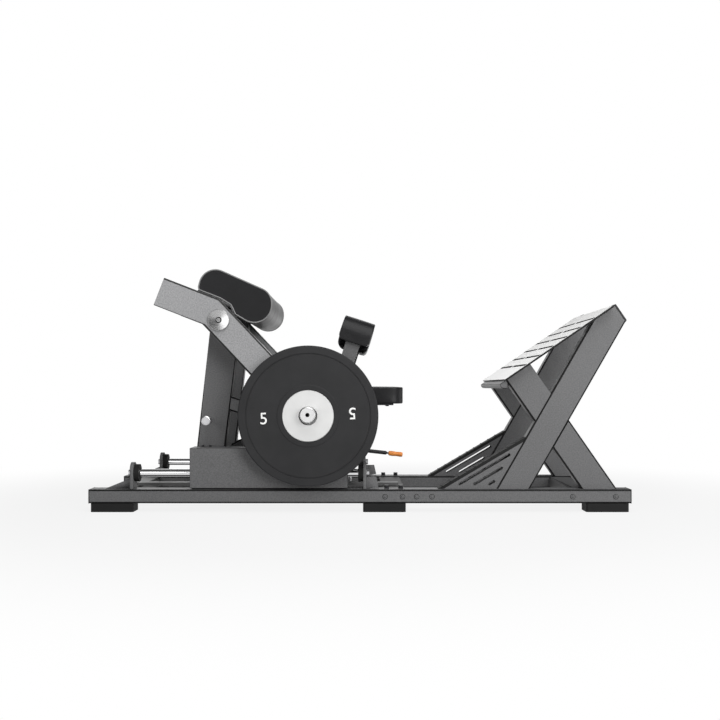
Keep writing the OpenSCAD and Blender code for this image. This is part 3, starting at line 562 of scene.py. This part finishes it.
def closed_skin(name, rings, first_pole, last_pole):
    """A skin over rings of equal count, each joined to the next, with a point to close each end."""
    rings = np.asarray(rings)
    count, around = rings.shape[:2]
    grid = np.arange(count * around).reshape(count, around)
    after = np.roll(grid, -1, axis=1)
    sides = np.stack([grid[:-1], after[:-1], after[1:], grid[1:]], axis=-1).reshape(-1, 4)
    first = np.column_stack([after[0], grid[0], np.full(around, count * around)])
    last = np.column_stack([grid[-1], after[-1], np.full(around, count * around + 1)])
    vertices = np.concatenate([rings.reshape(-1, 3), [first_pole], [last_pole]])
    piece = add_mesh(name, vertices, sides.tolist() + first.tolist() + last.tolist())
    smooth_outwards(piece.data)
    return piece


def toward(ring, pole, scales):
    """Smaller and smaller copies of a ring about its pole, which make an end face."""
    return [pole + (ring - pole) * scale for scale in scales]


def cushion(name, rings, first_pole, last_pole, held, swell):
    """A sewn cover swollen by cloth under pressure. What is held, the seams and the side on the
    board, stays. Any other point's move is swell times the tanh of the cloth's move over swell."""
    piece = closed_skin(name + "_cover", rings, first_pole, last_pole)
    count = len(piece.data.vertices)
    free = np.ones(count)
    free[: held.size][held.ravel()] = 0
    start = np.empty(count * 3, np.float32)
    piece.data.vertices.foreach_get("co", start)
    start = start.reshape(-1, 3)
    group = piece.vertex_groups.new(name="held")
    group.add(np.flatnonzero(free == 0).tolist(), 1.0, "REPLACE")
    cloth = piece.modifiers.new("cloth", "CLOTH")
    cloth.settings.vertex_group_mass = "held"
    cloth.settings.use_pressure = True
    cloth.settings.uniform_pressure_force = cover_pressure
    cloth.settings.effector_weights.gravity = 0
    cloth.settings.quality = 5
    cloth.collision_settings.use_collision = False
    for step in range(1, settle_frames + 1):
        bpy.context.scene.frame_set(step)
    swollen = np.empty(count * 3, np.float32)
    graph = bpy.context.evaluated_depsgraph_get()
    piece.evaluated_get(graph).data.vertices.foreach_get("co", swollen)
    piece.modifiers.remove(cloth)
    piece.vertex_groups.clear()
    bpy.context.scene.frame_set(1)
    move = swollen.reshape(-1, 3) - start
    length = np.maximum(np.linalg.norm(move, axis=1, keepdims=True), 1e-9)
    move *= swell * np.tanh(length / swell) / length * free[:, None]
    piece.data.vertices.foreach_set("co", (start + move).astype(np.float32).ravel())
    divide = piece.modifiers.new("fine", "SUBSURF")
    divide.levels = divide.render_levels = 1
    graph = bpy.context.evaluated_depsgraph_get()
    data = bpy.data.meshes.new_from_object(piece.evaluated_get(graph))
    piece.modifiers.clear()
    piece.data = data
    data.materials.append(black_vinyl)
    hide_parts(name)
    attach(piece, nodes[name]["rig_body"])
    return piece


# ---- seat cushion ----
# A box cushion on a board: a top panel, a band sewn round it, and a flat underside on the seat
# plate.

seat_line = outline(
    [(-0.205, -0.158), (-0.205, 0.158), (0.145, 0.158), (0.145, -0.158)],
    [0.038] * 4, [8] * 4, [27, 31, 27, 31],
)
seat_under, seat_rim = 0.348, 0.4032
# Height and inset of each ring of the band, from the board's edge to the top seam
band = [
    (seat_under, 0.003), (0.3492, 0.0010), (0.352, 0.0003), (0.357, 0.0003), (0.364, 0.0008),
    (0.372, 0.0012), (0.380, 0.0011), (0.388, 0.0007), (0.395, 0.0002), (0.3995, 0.0),
    (0.4018, 0.0006), (seat_rim, 0.0028),
]
seat_centre = np.array([-0.03, 0.0])
under_scales = [0.15, 0.4, 0.65, 0.85, 0.96]
top_scales = [0.97, *np.arange(0.92, 0.05, -0.055)]


def flat_ring(line, height):
    return np.column_stack([line, np.full(len(line), height)])


seat_rings = [flat_ring(drawn_in(seat_line, inset), height) for height, inset in band]
under_rings = toward(seat_rings[0], np.array([*seat_centre, seat_under]), under_scales)
top_rings = toward(seat_rings[-1], np.array([*seat_centre, seat_rim]), top_scales)
rings = np.array(under_rings + seat_rings + top_rings)
held = np.zeros(rings.shape[:2], bool)
held[: len(under_rings) + 3] = True
rim = len(under_rings) + len(seat_rings)
held[rim - 3 : rim] = True
cushion("seat_pad", rings, (*seat_centre, seat_under), (*seat_centre, seat_rim), held, 0.003)

# ---- hip cushion ----
# It lies across the arms' ends: one wide panel wraps the top and rolls down over both ends, and a
# narrow side panel closes the front and the back. Between the posts its foam hangs lower.

tilt = math.radians(18)
hip_under = 0.5144
hip_half, hip_side, hip_top = 0.240, 0.052, 0.083
hip_x = -0.1917
roll, roll_drop = 0.062, 0.052
turn = np.radians([0, 9, 18, 27, 36, 45, 54, 63, 71, 78, 84])
rolled = hip_half - roll + roll * np.sin(turn)
beside_post = [0.134, 0.142, 0.150, 0.155, 0.160, 0.164, 0.171]
inner = np.concatenate([np.arange(0, 0.126, 0.0105), beside_post])
station = np.concatenate([inner, rolled, [hip_half - 0.0004, hip_half]])
inset = np.concatenate([np.zeros(len(inner) + len(rolled)), [0.0008, 0.003]])
underside = np.interp(
    station,
    [0, 0.06, 0.125, 0.15, 0.16, 0.164],
    [-0.02, -0.02, -0.0195, -0.017, -0.009, 0.001],
)
past = np.clip((station - hip_half + roll) / roll, 0, 1)
crown = hip_top - roll_drop * (1 - np.sqrt(1 - past**2))


def hip_ring(y, low, top, step):
    """The section at y, turned by the tilt about the machine's Y axis."""
    line = outline(
        [(-hip_side, low), (-hip_side, top), (hip_side, top), (hip_side, low)],
        [0.015, 0.0035, 0.0035, 0.013], [4, 3, 3, 4], [7, 13, 7, 9],
    )
    line = drawn_in(line, step) + [hip_x, hip_under]
    x = line[:, 0] * math.cos(tilt) + line[:, 1] * math.sin(tilt)
    z = line[:, 1] * math.cos(tilt) - line[:, 0] * math.sin(tilt)
    return np.column_stack([x, np.full(len(x), y), z])


half_rings = [hip_ring(*row) for row in zip(station, underside, crown, inset)]
mirror_y = np.array([1, -1, 1])
near_pole = half_rings[-1].mean(axis=0) * mirror_y
end_rings = toward(half_rings[-1] * mirror_y, near_pole, [0.9, 0.72, 0.5, 0.25])
near = end_rings[::-1] + [ring * mirror_y for ring in half_rings[:0:-1]]
rings = np.array(near + half_rings + [ring * mirror_y for ring in end_rings])
held = np.zeros(rings.shape[:2], bool)
# Columns of a ring on the two seams of the wide panel, and on the board
seam_columns = [*range(10, 16), *range(26, 32)]
board_columns = [*range(0, 6), *range(37, rings.shape[1])]
held[:, seam_columns + board_columns] = True
cushion("hip_pad", rings, near_pole, near_pole * mirror_y, held, 0.0035)

# ---- back cushion ----
# Deep foam with a flat back rest that turns down into a round nose. A long panel wraps it, and a
# raised welt is sewn between that panel and each end panel.

# The welt's vinyl is mid grey against the cover's near black: a painted highlight along the piping
welt_painted_highlight = vinyl("welt_painted_highlight", (0.2, 0.2, 0.2))


def welt(name, path, across, radius, body):
    """Piping: a round tube along a closed flat path, with its rings on across and square to it."""
    chord = np.roll(path, -1, axis=0) - np.roll(path, 1, axis=0)
    chord /= np.linalg.norm(chord, axis=1, keepdims=True)
    across = np.asarray(across, float)
    out = np.cross(chord, across)
    angle = np.linspace(0, 2 * math.pi, 10, endpoint=False)
    rings = path[:, None] + radius * (
        np.cos(angle)[None, :, None] * across + np.sin(angle)[None, :, None] * out[:, None]
    )
    count, around = rings.shape[:2]
    grid = np.arange(count * around).reshape(count, around)
    after = np.roll(grid, -1, axis=1)
    faces = np.stack([grid, after, np.roll(after, -1, axis=0), np.roll(grid, -1, axis=0)], axis=-1)
    piece = add_mesh(name, rings, faces.reshape(-1, 4).tolist())
    smooth_outwards(piece.data)
    piece.data.materials.append(welt_painted_highlight)
    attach(piece, body)


back_half = 0.250
welt_radius = 0.0022
# Where the cushion starts to lie on its plate, in X and Z
board_corner = (-0.4057, 0.6412)
back_line = outline(
    [(-0.5287, 0.7226), (-0.508, 0.808), (-0.287, 0.710), (-0.289, 0.571), board_corner,
     (-0.4209, 0.6728), (-0.4558, 0.6943)],
    [0.010, 0.054, 0.050, 0.057, 0.003, 0.004, 0.003],
    [3, 12, 8, 14, 3, 3, 3],
    [2, 15, 1, 4, 4, 5, 8],
)
back_inner = np.linspace(-0.2425, 0.2425, 55)
station = np.concatenate([[-back_half, -0.2492, -0.247], back_inner, [0.247, 0.2492, back_half]])
inset = np.concatenate([[0.003, 0.0008, 0], np.zeros(len(back_inner)), [0, 0.0008, 0.003]])


def upright_ring(line, y):
    return np.column_stack([line[:, 0], np.full(len(line), y), line[:, 1]])


body_rings = [upright_ring(drawn_in(back_line, step), y) for step, y in zip(inset, station)]
back_pole = np.array([-0.385, -back_half, 0.690])
end_scales = [0.96, 0.9, 0.82, 0.73, 0.63, 0.52, 0.41, 0.3, 0.2, 0.1]
end_rings = toward(body_rings[0], back_pole, end_scales)
rings = np.array(end_rings[::-1] + body_rings + [ring * mirror_y for ring in end_rings])
held = np.zeros(rings.shape[:2], bool)
edge = len(end_rings)
held[edge : edge + 4] = True
held[-edge - 4 : -edge] = True
board_start = np.flatnonzero(np.linalg.norm(back_line - board_corner, axis=1) < 0.006)[0]
held[:, board_start:] = True
held[:, :2] = True
cushion("back_pad", rings, back_pole, back_pole * mirror_y, held, 0.004)
for side, label in [(-1, "right"), (1, "left")]:
    path = upright_ring(drawn_in(back_line, 0.0004), side * (back_half - 0.0012))
    welt(f"{label}_back_pad_welt", path, (0, 1, 0), welt_radius, "press_arm")

# ---- release lever ----
# A black steel lever on two ears, with a soft orange grip pushed over its thin end.

dress(black_steel, "release_lever")
orange, shader, place = start_material("orange_grip", Specular_IOR_Level=0.4)
orange_grain = place.noise(350.0)
feed(
    shader,
    Base_Color=place.tint((0.62, 0.19, 0.03), (0.80, 0.29, 0.06), place.noise(40.0)),
    Roughness=orange_grain * 0.2 + 0.42,
    Normal=place.bump(orange_grain, 0.0002, 0.5),
)
dress(orange, "lever_grip")
